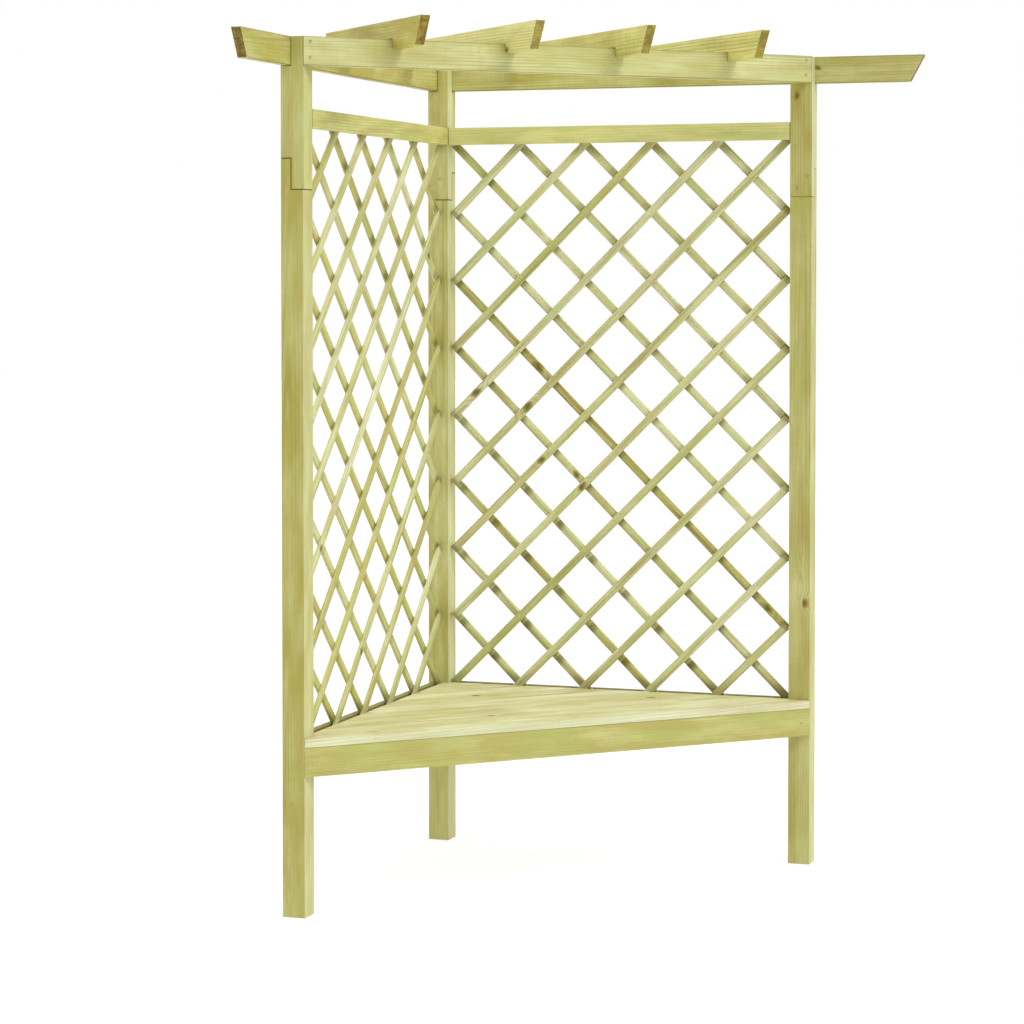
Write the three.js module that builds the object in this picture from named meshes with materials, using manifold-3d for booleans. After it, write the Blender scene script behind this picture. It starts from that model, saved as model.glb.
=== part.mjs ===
// Corner arbour seat: three posts on a right-angled corner plan, a boarded seat across
// the corner, two lattice sides and an open roof of four rafters over three beams.
// Millimetres, +Z up. The origin lies on the ground under the middle of the whole plan.
import * as THREE from 'three';
import { mergeVertices } from 'three/addons/utils/BufferGeometryUtils.js';
import Module from 'manifold-3d';

const wasm = await Module();
wasm.setup();

// Fits
const jointGap = 0.3;
const cutOverrun = 6;

// Posts, each of two timbers that meet in a half lap
const postSpread = 971;
const postWidth = 53;
const lapDrop = 264.5;
const lapLength = 68;
const lowerTongueShare = 0.46;

// Beams round the top
const beamTop = 1928;
const beamThickness = 24;
const beamDepth = 63;
const beamReach = 1232;
const beamRake = 34;

// Rafters, square to the front and notched down over the beams
const rafterThickness = 24;
const rafterDepth = 63;
const rafterNotch = 21;
const rafterFrontReach = 152;
const rafterTailReach = 68;
const rafterRake = 33;
const rafterPlaceShares = [0.172, 0.386, 0.601, 0.83];

// Rails between the posts, level with the posts' inner faces
const railThickness = 16;
const railDepth = 42;
const topRailDrop = 155;

// Lattice laths, an inner layer leaning one way and an outer layer leaning the other
const lathWidth = 19;
const lathThickness = 7;
const lathColumns = 5;
const lathRows = 8;
const nodeInset = 12.5;
const lathTipGap = 1;
const topNodeDrop = 2;
const footNodeRise = 4;
const lathTopLap = 30;
const lathFootLap = 38;
const stapledBite = 0.2;

// Seat
const seatHeight = 395;
const boardThickness = 20;
const seatBoards = 8;
const frontBoardWidth = 118;
const boardJoint = 0.8;
const seatRailThickness = 24;
const seatRailDepth = 64;
const bearerThickness = 24;

// Countersunk screws
const screwRadius = 2.25;
const screwHeadRadius = 4.5;
const screwHeadRim = 0.7;
const screwHeadDepth = 3.4;
const screwPoint = 7;
const screwSides = 10;
const shortScrew = 42;
const longScrew = 70;
const frontScrewInset = 17;
const seatScrewInset = 24;

// Heights and lengths worked out from the sizes above
const beamBottom = beamTop - beamDepth;
const rafterBottom = beamTop - rafterNotch;
const rafterTop = rafterBottom + rafterDepth;
const lapTop = beamTop - lapDrop;
const lapBottom = lapTop - lapLength;
const topRailTop = beamTop - topRailDrop;
const topRailBottom = topRailTop - railDepth;
const boardBottom = seatHeight - boardThickness;
const seatRailTop = boardBottom - jointGap;
const farPost = postSpread - postWidth;
const railStart = postWidth + jointGap;
const railEnd = farPost - jointGap;
const diagonal = Math.SQRT2;
const frontLength = farPost * diagonal;
const bottomNode = seatHeight + footNodeRise;
const topNode = topRailBottom - topNodeDrop;

// The corner group's own zero is the outer edge of the corner post. Each side group runs
// from left to right as seen from the seat, and outwards from the posts' inner faces.
const arbour = new THREE.Group();
const corner = new THREE.Group();
const leftSide = new THREE.Group();
const backSide = new THREE.Group();
const front = new THREE.Group();
arbour.add(corner);
corner.add(leftSide, backSide, front);
leftSide.position.set(postWidth, -postSpread, 0);
leftSide.rotation.z = Math.PI / 2;
backSide.position.set(0, -postWidth, 0);
front.position.set(postWidth, -postSpread, 0);
front.rotation.z = Math.PI / 4;
arbour.updateMatrixWorld(true);

// Finishes
const finishes = {
  post: { color: 0xbdb571, roughness: 0.82, metalness: 0 },
  beam: { color: 0xc6be7e, roughness: 0.82, metalness: 0 },
  rafter: { color: 0xb2a65c, roughness: 0.84, metalness: 0 },
  rail: { color: 0xcac388, roughness: 0.82, metalness: 0 },
  lath: { color: 0xc2ba7a, roughness: 0.86, metalness: 0 },
  board: { color: 0xdcd7ab, roughness: 0.8, metalness: 0 },
  screw: { color: 0xa8a48c, roughness: 0.45, metalness: 0.9 },
};

// Turns a closed three.js geometry into a solid that can be cut and joined
function toSolid(geometry) {
  const bare = geometry.clone();
  bare.deleteAttribute('normal');
  bare.deleteAttribute('uv');
  const welded = mergeVertices(bare);
  const corners = [];
  const index = welded.index.array;
  for (let i = 0; i < index.length; i += 3) {
    const [a, b, c] = [index[i], index[i + 1], index[i + 2]];
    if (a !== b && b !== c && c !== a) {
      corners.push(a, b, c);
    }
  }
  return new wasm.Manifold(new wasm.Mesh({
    numProp: 3,
    vertProperties: new Float32Array(welded.attributes.position.array),
    triVerts: new Uint32Array(corners),
  }));
}

// Turns a solid back into a geometry with flat faces
function toGeometry(solid) {
  const mesh = solid.getMesh();
  const indexed = new THREE.BufferGeometry();
  indexed.setAttribute('position', new THREE.BufferAttribute(mesh.vertProperties, mesh.numProp));
  indexed.setIndex(new THREE.BufferAttribute(mesh.triVerts, 1));
  const geometry = indexed.toNonIndexed();
  geometry.computeVertexNormals();
  return geometry;
}

// A square block between two corners
function block(x0, x1, y0, y1, z0, z1) {
  const geometry = new THREE.BoxGeometry(x1 - x0, y1 - y0, z1 - z0);
  geometry.translate((x0 + x1) / 2, (y0 + y1) / 2, (z0 + z1) / 2);
  return geometry;
}

// An outline drawn in plan, raised from one height to another
function planPrism(points, bottom, top) {
  const shape = new THREE.Shape(points.map(([x, y]) => new THREE.Vector2(x, y)));
  const geometry = new THREE.ExtrudeGeometry(shape, { depth: top - bottom, bevelEnabled: false });
  geometry.translate(0, 0, bottom);
  return geometry;
}

// An outline drawn in side view along X and Z, given a thickness along +Y
function sidePrism(points, thickness) {
  const shape = new THREE.Shape(points.map(([x, z]) => new THREE.Vector2(x, z)));
  const geometry = new THREE.ExtrudeGeometry(shape, { depth: thickness, bevelEnabled: false });
  geometry.rotateX(Math.PI / 2);
  geometry.translate(0, thickness, 0);
  return geometry;
}

// The screw's turned shape, head at zero and point down; ease widens it to its hole
function screwShape(length, ease) {
  const rise = ease > 0 ? cutOverrun : 0;
  const profile = [
    [0, rise],
    [screwHeadRadius + ease, rise],
    [screwHeadRadius + ease, -screwHeadRim],
    [screwRadius + ease, -screwHeadDepth],
    [screwRadius + ease, screwPoint - length],
    [0, -length - ease],
  ].map(([radius, height]) => new THREE.Vector2(radius, height));
  const geometry = new THREE.LatheGeometry(profile.reverse(), screwSides);
  geometry.rotateX(Math.PI / 2);
  return geometry;
}

// Every screw: where its head lies in the corner group, the way it points and what it holds
const screws = [];
function planScrew(name, host, at, way, length, holds) {
  const place = new THREE.Vector3(...at).applyMatrix4(host.matrixWorld);
  const aim = new THREE.Vector3(...way).transformDirection(host.matrixWorld);
  const turn = new THREE.Quaternion().setFromUnitVectors(new THREE.Vector3(0, 0, -1), aim);
  screws.push({ name, place, turn, length, holds });
}

function screwHole(screw) {
  const unit = new THREE.Vector3(1, 1, 1);
  return screwShape(screw.length, jointGap).applyMatrix4(
    new THREE.Matrix4().compose(screw.place, screw.turn, unit));
}

// Adds one piece to its group, with the neighbours' shapes and the screw holes cut out of it
function addPiece(parent, name, finish, geometry, cuts = [], place = {}) {
  const mesh = new THREE.Mesh(undefined, new THREE.MeshStandardMaterial(finishes[finish]));
  mesh.name = name;
  mesh.position.set(place.x ?? 0, place.y ?? 0, place.z ?? 0);
  mesh.rotation.z = place.turn ?? 0;
  parent.add(mesh);
  mesh.updateWorldMatrix(true, false);
  const toLocal = mesh.matrixWorld.clone().invert();
  const holes = screws.filter((screw) => screw.holds.includes(name)).map(screwHole);
  let solid = toSolid(geometry);
  for (const tool of [...cuts, ...holes]) {
    solid = solid.subtract(toSolid(tool.clone().applyMatrix4(toLocal)));
  }
  mesh.geometry = toGeometry(solid);
  return mesh;
}

// Rafters' places along the front face, and how far back each one runs
const rafterPlaces = rafterPlaceShares.map((share) => share * frontLength);
function rafterTail(place) {
  const overLeft = place + (postWidth + rafterTailReach) * diagonal;
  const overBack = (postSpread + rafterTailReach) * diagonal - place;
  return Math.min(overLeft, overBack) - rafterThickness / 2;
}

// Where a rafter's middle line crosses the middle of the beam behind it
function tailCrossing(place) {
  const overLeft = place + (postWidth - beamThickness / 2) * diagonal;
  const overBack = (postSpread - beamThickness / 2) * diagonal - place;
  return Math.min(overLeft, overBack);
}

function planScrews() {
  const evenShares = [[0.7, 0.74], [0.3, 0.31]];
  const cornerShares = [[0.55, 0.77], [0.2, 0.31]];
  const rightShares = [[0.77, 0.74], [0.32, 0.31]];
  const laps = [
    ['front', leftSide, 0, postWidth, evenShares],
    ['corner', backSide, 0, 0, cornerShares],
    ['right', backSide, farPost, 0, rightShares],
  ];
  for (const [post, side, start, face, lapShares] of laps) {
    const way = face > 0 ? -1 : 1;
    lapShares.forEach(([across, up], i) => {
      planScrew(`lap_screw_${post}_${i + 1}`, side,
        [start + across * postWidth, face, lapBottom + up * lapLength], [0, way, 0],
        shortScrew, [`post_${post}_upper`, `post_${post}_lower`]);
    });
  }
  const ends = [['front', 0, 1], ['right', frontLength, -1]];
  const frontScrewShares = [0.825, 0.27];
  for (const [post, start, way] of ends) {
    frontScrewShares.forEach((up, i) => {
      planScrew(`beam_front_screw_${post}_${i + 1}`, front,
        [start + way * frontScrewInset, 0, beamBottom + up * beamDepth], [0, 1, 0],
        shortScrew, ['beam_front', `post_${post}_upper`]);
    });
    planScrew(`seat_rail_screw_${post}`, front,
      [start + way * seatScrewInset, 0, seatRailTop - seatRailDepth / 2], [0, 1, 0],
      shortScrew, ['seat_rail_front', `post_${post}_lower`]);
  }
  const beamScrewShares = [0.65, 0.35];
  const [leftUp, backUp] = beamScrewShares.map((share) => beamBottom + share * beamDepth);
  const cheek = (postWidth - beamThickness) / 2;
  planScrew('beam_screw_front', leftSide, [postWidth / 2, postWidth, leftUp], [0, -1, 0],
    shortScrew, ['beam_left', 'post_front_upper']);
  planScrew('beam_screw_corner_left', leftSide, [farPost + cheek, postWidth, leftUp], [0, -1, 0],
    shortScrew, ['beam_left', 'post_corner_upper']);
  planScrew('beam_screw_corner_back', backSide, [postWidth - cheek, postWidth, backUp], [0, -1, 0],
    shortScrew, ['beam_back', 'post_corner_upper']);
  planScrew('beam_screw_right', backSide, [farPost + postWidth / 2, postWidth, backUp], [0, -1, 0],
    shortScrew, ['beam_back', 'post_right_upper']);
  rafterPlaces.forEach((place, i) => {
    const rear = 2 * place < frontLength ? 'beam_left' : 'beam_back';
    planScrew(`rafter_screw_${i + 1}_front`, front, [place, beamThickness / 2, rafterTop],
      [0, 0, -1], longScrew, [`rafter_${i + 1}`, 'beam_front']);
    planScrew(`rafter_screw_${i + 1}_rear`, front, [place, tailCrossing(place), rafterTop],
      [0, 0, -1], longScrew, [`rafter_${i + 1}`, rear]);
  });
}

// The space that a side's beam takes up to a height, widened to its joint gap, in the
// corner group
function beamSpace(side, start, end, top) {
  return block(start - jointGap, end + jointGap, postWidth - beamThickness - jointGap,
    postWidth + cutOverrun, beamBottom - jointGap, top).applyMatrix4(side.matrixWorld);
}

// One post of two timbers. The lower one keeps its outer tongue and the upper one its inner
// tongue; start is the post's place along its side.
function addPost(side, name, start, beams) {
  const split = (1 - lowerTongueShare) * postWidth;
  const [x0, x1] = [start - cutOverrun, start + postWidth + cutOverrun];
  const overTongue = block(x0, x1, -cutOverrun, split, lapBottom, lapTop + cutOverrun);
  const underTongue = block(x0, x1, split - jointGap, postWidth + cutOverrun,
    lapBottom - cutOverrun, lapTop + jointGap);
  addPiece(side, `post_${name}_lower`, 'post',
    block(start, start + postWidth, 0, postWidth, 0, lapTop),
    [overTongue.applyMatrix4(side.matrixWorld)]);
  addPiece(side, `post_${name}_upper`, 'post',
    block(start, start + postWidth, 0, postWidth, lapBottom + jointGap, beamTop),
    [underTongue.applyMatrix4(side.matrixWorld), ...beams]);
}

// The beams drop into notches that are open at the posts' tops
function addPosts() {
  const notchTop = beamTop + cutOverrun;
  const leftNotch = beamSpace(leftSide, postSpread - beamReach, postSpread + cutOverrun, notchTop);
  const backNotch = beamSpace(backSide, -cutOverrun, beamReach, notchTop);
  addPost(leftSide, 'front', 0, [leftNotch]);
  addPost(backSide, 'corner', 0, [leftNotch, backNotch]);
  addPost(backSide, 'right', farPost, [backNotch]);
}

function addBeams() {
  const overhang = beamReach - postSpread;
  addPiece(leftSide, 'beam_left', 'beam', sidePrism([
    [beamRake - overhang, beamBottom],
    [postSpread, beamBottom],
    [postSpread, beamTop],
    [-overhang, beamTop],
  ], beamThickness), [], { y: postWidth - beamThickness });
  const butt = beamThickness + jointGap;
  addPiece(backSide, 'beam_back', 'beam', sidePrism([
    [butt, beamBottom],
    [beamReach - beamRake, beamBottom],
    [beamReach, beamTop],
    [butt, beamTop],
  ], beamThickness), [], { y: postWidth - beamThickness });
  addPiece(front, 'beam_front', 'beam', planPrism(frontPlan(beamThickness), beamBottom, beamTop));
}

// Plan of a timber across the front, its ends cut to lie flat on the posts' faces
function frontPlan(thickness) {
  const ease = jointGap * diagonal;
  return [
    [ease, 0],
    [frontLength - ease, 0],
    [frontLength - thickness - ease, thickness],
    [thickness + ease, thickness],
  ];
}

function addRafters() {
  const seatOnBeam = beamTop + jointGap;
  const notches = [
    beamSpace(leftSide, postSpread - beamReach, postSpread, seatOnBeam),
    beamSpace(backSide, 0, beamReach, seatOnBeam),
    block(-cutOverrun, frontLength + cutOverrun, -jointGap, beamThickness + jointGap,
      beamBottom, seatOnBeam).applyMatrix4(front.matrixWorld),
  ];
  rafterPlaces.forEach((place, i) => {
    const tail = rafterTail(place);
    addPiece(front, `rafter_${i + 1}`, 'rafter', sidePrism([
      [rafterRake - rafterFrontReach, rafterBottom],
      [tail - rafterRake, rafterBottom],
      [tail, rafterTop],
      [-rafterFrontReach, rafterTop],
    ], rafterThickness), notches, { x: place + rafterThickness / 2, turn: Math.PI / 2 });
  });
}

function addRails(side, name) {
  const footStart = railThickness + 2 * jointGap + 2 * lathThickness - stapledBite;
  addPiece(side, `top_rail_${name}`, 'rail',
    block(railStart, railEnd, 0, railThickness, topRailBottom, topRailTop));
  addPiece(side, `seat_rail_${name}`, 'rail',
    block(railStart, railEnd, 0, railThickness, seatRailTop - railDepth, seatRailTop));
  addPiece(side, `foot_rail_${name}`, 'rail',
    block(railStart, railEnd, footStart, footStart + railThickness,
      seatHeight - railDepth, seatHeight));
}

// One layer of laths as [start, end] pairs of points along X and Z. Lean is 1 for laths that
// rise to the right and -1 for laths that rise to the left.
function lathLines(lean) {
  const firstNode = postWidth + nodeInset;
  const columnPitch = (farPost - nodeInset - firstNode) / lathColumns;
  const rowPitch = (topNode - bottomNode) / lathRows;
  const slope = Math.atan2(rowPitch, columnPitch);
  const [run, rise] = [Math.cos(slope), Math.sin(slope)];
  const half = lathWidth / 2;
  const sideTail = (nodeInset - lathTipGap - half * rise) / run;
  const topTail = (lathTopLap - half * run) / rise;
  const footTail = (lathFootLap - half * run) / rise;
  const lines = [];
  for (let first = 1 - lathRows; first < lathColumns; first += 1) {
    const low = Math.max(0, -first);
    const high = Math.min(lathRows, lathColumns - first);
    const startTail = first + low === 0 ? sideTail : footTail;
    const endTail = first + high === lathColumns ? sideTail : topTail;
    const place = (row, tail) => {
      const column = first + row;
      const along = firstNode + column * columnPitch + tail * run;
      return [lean > 0 ? along : postSpread - along, bottomNode + row * rowPitch + tail * rise];
    };
    lines.push([place(low, -startTail), place(high, endTail)]);
  }
  return lines;
}

function lathGeometry([[x0, z0], [x1, z1]], layerStart) {
  const geometry = new THREE.BoxGeometry(Math.hypot(x1 - x0, z1 - z0), lathThickness, lathWidth);
  geometry.rotateY(-Math.atan2(z1 - z0, x1 - x0));
  geometry.translate((x0 + x1) / 2, layerStart + lathThickness / 2, (z0 + z1) / 2);
  return geometry;
}

// A lattice panel: both layers bite into each other where they are stapled together
function addLattice(side, name) {
  const innerStart = railThickness + jointGap;
  const outerStart = innerStart + lathThickness - stapledBite;
  const laths = [
    ...lathLines(1).map((line) => lathGeometry(line, innerStart)),
    ...lathLines(-1).map((line) => lathGeometry(line, outerStart)),
  ].map(toSolid);
  const panel = laths.reduce((whole, lath) => whole.add(lath));
  const mesh = new THREE.Mesh(toGeometry(panel), new THREE.MeshStandardMaterial(finishes.lath));
  mesh.name = `lattice_${name}`;
  side.add(mesh);
}

// Plan of the whole seat in the corner group, let in between the laths and round the posts
const seatEdge = postWidth - railThickness + jointGap;
function seatPlan() {
  const post = postWidth + jointGap;
  const far = farPost - jointGap;
  const tip = postSpread - jointGap;
  return [
    [seatEdge, -post], [post, -post], [post, -seatEdge], [far, -seatEdge], [far, -post],
    [tip, -post], [post, -tip], [post, -far], [seatEdge, -far],
  ];
}

function addSeat() {
  addPiece(front, 'seat_rail_front', 'rail',
    planPrism(frontPlan(seatRailThickness), seatRailTop - seatRailDepth, seatRailTop));
  const middle = frontLength / 2;
  const halfBearer = bearerThickness / 2;
  const bearerStart = seatRailThickness + jointGap;
  const bearerEnd = middle - jointGap * diagonal;
  addPiece(front, 'seat_rail_middle', 'rail', planPrism([
    [middle - halfBearer, bearerStart],
    [middle + halfBearer, bearerStart],
    [middle + halfBearer, bearerEnd - halfBearer],
    [middle, bearerEnd],
    [middle - halfBearer, bearerEnd - halfBearer],
  ], seatRailTop - railDepth, seatRailTop));

  const seatDepth = (postSpread + postWidth - 2 * seatEdge) / diagonal;
  const boardPitch = (seatDepth - frontBoardWidth) / (seatBoards - 1);
  const seams = [0];
  for (let k = 0; k < seatBoards; k += 1) {
    seams.push(frontBoardWidth + k * boardPitch);
  }
  const whole = toSolid(planPrism(seatPlan(), boardBottom, seatHeight)
    .applyMatrix4(front.matrixWorld.clone().invert()));
  for (let k = 0; k + 1 < seams.length; k += 1) {
    const strip = toSolid(block(-cutOverrun, frontLength + cutOverrun,
      k === 0 ? -cutOverrun : seams[k] + boardJoint / 2, seams[k + 1] - boardJoint / 2,
      boardBottom - cutOverrun, seatHeight + cutOverrun));
    addPiece(front, `seat_board_${k + 1}`, 'board', toGeometry(whole.intersect(strip)));
  }
}

function addScrews() {
  for (const screw of screws) {
    const mesh = new THREE.Mesh(screwShape(screw.length, 0),
      new THREE.MeshStandardMaterial(finishes.screw));
    mesh.name = screw.name;
    mesh.position.copy(screw.place);
    mesh.quaternion.copy(screw.turn);
    corner.add(mesh);
  }
}

planScrews();
addPosts();
addBeams();
addRafters();
for (const [side, name] of [[leftSide, 'left'], [backSide, 'back']]) {
  addRails(side, name);
  addLattice(side, name);
}
addSeat();
addScrews();

// Bring the middle of the whole plan over the origin
const planMiddle = (beamReach - rafterTailReach) / 2;
corner.position.set(-planMiddle, planMiddle, 0);
arbour.updateMatrixWorld(true);

export default arbour;
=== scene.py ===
"""Looks of the corner arbour seat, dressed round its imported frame. Metres, +Z up."""
import logging
import math
import random
from collections.abc import Callable
from dataclasses import dataclass, field
from enum import Enum
from typing import Any

import bmesh
import bpy
from bpy.types import Material, Mesh, Node, NodeSocket, NodeTree
from mathutils import Color, Matrix, Vector
from mathutils.bvhtree import BVHTree


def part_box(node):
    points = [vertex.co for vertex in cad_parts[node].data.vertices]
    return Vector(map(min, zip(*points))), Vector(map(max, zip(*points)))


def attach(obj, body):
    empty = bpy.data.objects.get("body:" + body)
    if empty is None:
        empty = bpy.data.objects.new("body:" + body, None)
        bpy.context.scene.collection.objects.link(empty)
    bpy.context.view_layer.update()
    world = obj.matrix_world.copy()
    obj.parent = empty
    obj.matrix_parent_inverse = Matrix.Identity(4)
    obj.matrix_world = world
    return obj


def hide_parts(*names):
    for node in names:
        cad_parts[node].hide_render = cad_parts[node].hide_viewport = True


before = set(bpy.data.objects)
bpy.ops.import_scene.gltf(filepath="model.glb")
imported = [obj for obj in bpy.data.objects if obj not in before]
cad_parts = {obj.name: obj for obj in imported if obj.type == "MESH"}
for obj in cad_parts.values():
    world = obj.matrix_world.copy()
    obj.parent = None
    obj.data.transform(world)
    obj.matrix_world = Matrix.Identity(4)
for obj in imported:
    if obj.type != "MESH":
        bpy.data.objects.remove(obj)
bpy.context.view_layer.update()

log = logging.getLogger("arbour")

MM = 0.001
IMAGE_SIDE = 1024
FULL_CHANNEL = 255
BODY = "root"
STEEL = "screw_steel"
KNOT_NAMES = ("knot_a", "knot_b")
POST_FACE = 0.529
FRONT_POST_FACE = -0.336
DIAGONAL = math.sqrt(0.5)
NOISE_MIDDLE = 0.5
WHITE = (1.0, 1.0, 1.0, 1.0)

Triple = tuple[float, float, float]
Band = tuple[float, float]


def srgb(red: int, green: int, blue: int) -> Triple:
    """Turns a colour of 0 to 255 a channel into linear light of 0 to 1 a channel."""
    shown = Color((red / FULL_CHANNEL, green / FULL_CHANNEL, blue / FULL_CHANNEL))
    return tuple(shown.from_srgb_to_scene_linear())


class Run(Enum):
    """The way a timber's grain runs, as a direction in the frame."""

    UP = (0.0, 0.0, 1.0)
    ALONG_BACK = (1.0, 0.0, 0.0)
    ALONG_LEFT = (0.0, 1.0, 0.0)
    ACROSS_FRONT = (DIAGONAL, DIAGONAL, 0.0)
    TO_CORNER = (-DIAGONAL, DIAGONAL, 0.0)

    def triad(self) -> tuple[Vector, Vector, Vector]:
        """Gives the timber's own directions.

        Returns:
            The directions along the grain, across it and square to both.
        """
        along = Vector(self.value)
        rise = Vector((0.0, 1.0, 0.0)) if self is Run.UP else Vector((0.0, 0.0, 1.0))
        return along, rise.cross(along), rise


class Facing(Enum):
    """The way a screw's head or a board's pale edge faces."""

    WEST = (-1.0, 0.0, 0.0)
    SOUTH = (0.0, -1.0, 0.0)
    NORTH = (0.0, 1.0, 0.0)
    FRONT = (DIAGONAL, -DIAGONAL, 0.0)
    UP = (0.0, 0.0, 1.0)


class Side(Enum):
    """The two lattice sides of the arbour."""

    LEFT = "left"
    BACK = "back"


class Layer(Enum):
    """The two lath layers of a side, by the way their laths lean as they rise."""

    INNER = 1
    OUTER = -1


Lath = tuple[Layer, int]


class Wood(Enum):
    """The kinds of timber, each with its own finish and material slot."""

    POST = "post_wood"
    BEAM = "beam_wood"
    RAFTER = "rafter_wood"
    RAIL = "rail_wood"
    LATH = "lath_wood"
    BOARD = "board_wood"


def operator(kind: str, turned: bool = False) -> Callable[["Wire", Any], "Wire"]:
    """Makes an operator of a wire and another wire or a number, in turned order where that is set."""
    return lambda one, other: one.sheet.math(kind, *((other, one) if turned else (one, other)))


class Wire:
    """A node's output, which is added, multiplied and so on like a plain number."""

    __add__ = operator("ADD")
    __sub__ = operator("SUBTRACT")
    __rsub__ = operator("SUBTRACT", turned=True)
    __mul__ = operator("MULTIPLY")
    __truediv__ = operator("DIVIDE")
    __pow__ = operator("POWER")

    def __init__(self, sheet: "Sheet", socket: NodeSocket) -> None:
        """Holds the output and the sheet that its node lies on."""
        self.sheet = sheet
        self.socket = socket

    def __neg__(self) -> "Wire":
        """Turns the sign."""
        return self * -1.0

    def __abs__(self) -> "Wire":
        """Drops the sign."""
        return self.sheet.math("ABSOLUTE", self)

    def held(self) -> "Wire":
        """Holds the number between 0 and 1."""
        return self.sheet.math("ADD", self, 0.0, clamp=True)


@dataclass(frozen=True)
class Pattern:
    """A noise: its repeats a metre each way, its detail, and from where to where it comes to show."""

    scale: Triple
    detail: float
    start: float = 0.0
    full: float = 1.0
    roughness: float = 0.55


class Sheet:
    """Adds nodes to a tree and wires each one as it comes."""

    colour_inputs = (6, 7)
    colour_output = 2

    def __init__(self, tree: NodeTree) -> None:
        """Takes the tree that the nodes go into."""
        self.tree = tree

    def join(self, value: Any, socket: NodeSocket) -> None:
        """Leads a wire to an input, or sets the input to a plain value.

        Args:
            value: The wire or the value.
            socket: The input.
        """
        if isinstance(value, Wire):
            self.tree.links.new(value.socket, socket)
        else:
            socket.default_value = value

    def node(self, kind: str, inputs: dict[Any, Any] | None = None, **settings: Any) -> Node:
        """Adds one node.

        Args:
            kind: Blender's type name of the node.
            inputs: What each input takes, by name or place: a wire or a plain value.
            **settings: The node's own options.

        Returns:
            The new node.
        """
        node = self.tree.nodes.new(kind)
        for name, value in settings.items():
            setattr(node, name, value)
        for key, value in (inputs or {}).items():
            self.join(value, node.inputs[key])
        return node

    def wire(self, kind: str, inputs: dict[Any, Any] | None = None, output: Any = 0, **settings: Any) -> Wire:
        """Adds one node and gives the output of that name or place."""
        return Wire(self, self.node(kind, inputs, **settings).outputs[output])

    def math(self, operation: str, *values: Any, clamp: bool = False) -> Wire:
        """Adds a Math node and gives its result, held between 0 and 1 where clamp is set."""
        return self.wire("ShaderNodeMath", dict(enumerate(values)), operation=operation, use_clamp=clamp)

    def most(self, *values: Any) -> Wire:
        """Gives the larger of two numbers."""
        return self.math("MAXIMUM", *values)

    def reach(self, one: Wire, other: Wire) -> Wire:
        """Gives the length of two steps that are square to each other."""
        return self.math("SQRT", one ** 2 + other ** 2)

    def vector(self, x: Any = 0.0, y: Any = 0.0, z: Any = 0.0) -> Wire:
        """Makes a vector of three numbers."""
        return self.wire("ShaderNodeCombineXYZ", {0: x, 1: y, 2: z})

    def split(self, vector: Wire) -> list[Wire]:
        """Gives a vector's three numbers."""
        return [Wire(self, output) for output in self.node("ShaderNodeSeparateXYZ", {0: vector}).outputs]

    def stretched(self, vector: Wire, scale: Triple) -> Wire:
        """Multiplies a vector by another, number by number."""
        return self.wire("ShaderNodeVectorMath", {0: vector, 1: scale}, operation="MULTIPLY")

    def noise(self, place: Wire, pattern: Pattern) -> Wire:
        """Adds a noise.

        Args:
            place: Where it is read.
            pattern: Its kind.

        Returns:
            Its value, about a half.
        """
        return self.wire("ShaderNodeTexNoise", {
            "Vector": self.stretched(place, pattern.scale), "Scale": 1.0,
            "Detail": pattern.detail, "Roughness": pattern.roughness,
        })

    def swing(self, place: Wire, pattern: Pattern) -> Wire:
        """Adds a noise that swings about zero."""
        return self.noise(place, pattern) - NOISE_MIDDLE

    def patches(self, place: Wire, pattern: Pattern) -> Wire:
        """Adds a noise that shows only in patches."""
        return self.ramp(self.noise(place, pattern), pattern.start, pattern.full)

    def ramp(self, value: Wire, start: float, full: float) -> Wire:
        """Rises smoothly from 0 to 1.

        Args:
            value: What it goes by.
            start: Where it is 0.
            full: Where it is 1, which may be below the start.

        Returns:
            The risen number.
        """
        turned = start > full
        return self.wire("ShaderNodeMapRange", {
            "Value": value, "From Min": min(start, full), "From Max": max(start, full),
            "To Min": float(turned), "To Max": float(not turned),
        }, interpolation_type="SMOOTHSTEP")

    def blend(self, share: Any, under: Any, over: Any) -> Wire:
        """Lays a colour over another.

        Args:
            share: How much of the upper colour shows.
            under: The lower colour.
            over: The upper colour.

        Returns:
            The mixed colour.
        """
        inputs = {0: share}
        for place, colour in zip(self.colour_inputs, (under, over)):
            inputs[place] = colour if isinstance(colour, Wire) else (*colour, 1.0)
        return self.wire("ShaderNodeMix", inputs, self.colour_output, data_type="RGBA")

    def attribute(self, name: str) -> Wire:
        """Reads a piece's own vector attribute."""
        return self.wire("ShaderNodeAttribute", output="Vector", attribute_name=name)

    def bump(self, height: Wire, depth: float, strength: float) -> Wire:
        """Gives the normal of a relief."""
        return self.wire("ShaderNodeBump", {"Strength": strength, "Distance": depth, "Height": height})


def finish(name: str, paint: Callable[[Sheet], dict[str, Any]]) -> Material:
    """Makes a material of one shader.

    Args:
        name: The material's name.
        paint: Adds the nodes and gives what each of the shader's inputs takes.

    Returns:
        The material.
    """
    material = bpy.data.materials.new(name)
    material.use_nodes = True
    material.node_tree.nodes.clear()
    sheet = Sheet(material.node_tree)
    shader = sheet.wire("ShaderNodeBsdfPrincipled", paint(sheet))
    sheet.node("ShaderNodeOutputMaterial", {"Surface": shader})
    return material


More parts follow.
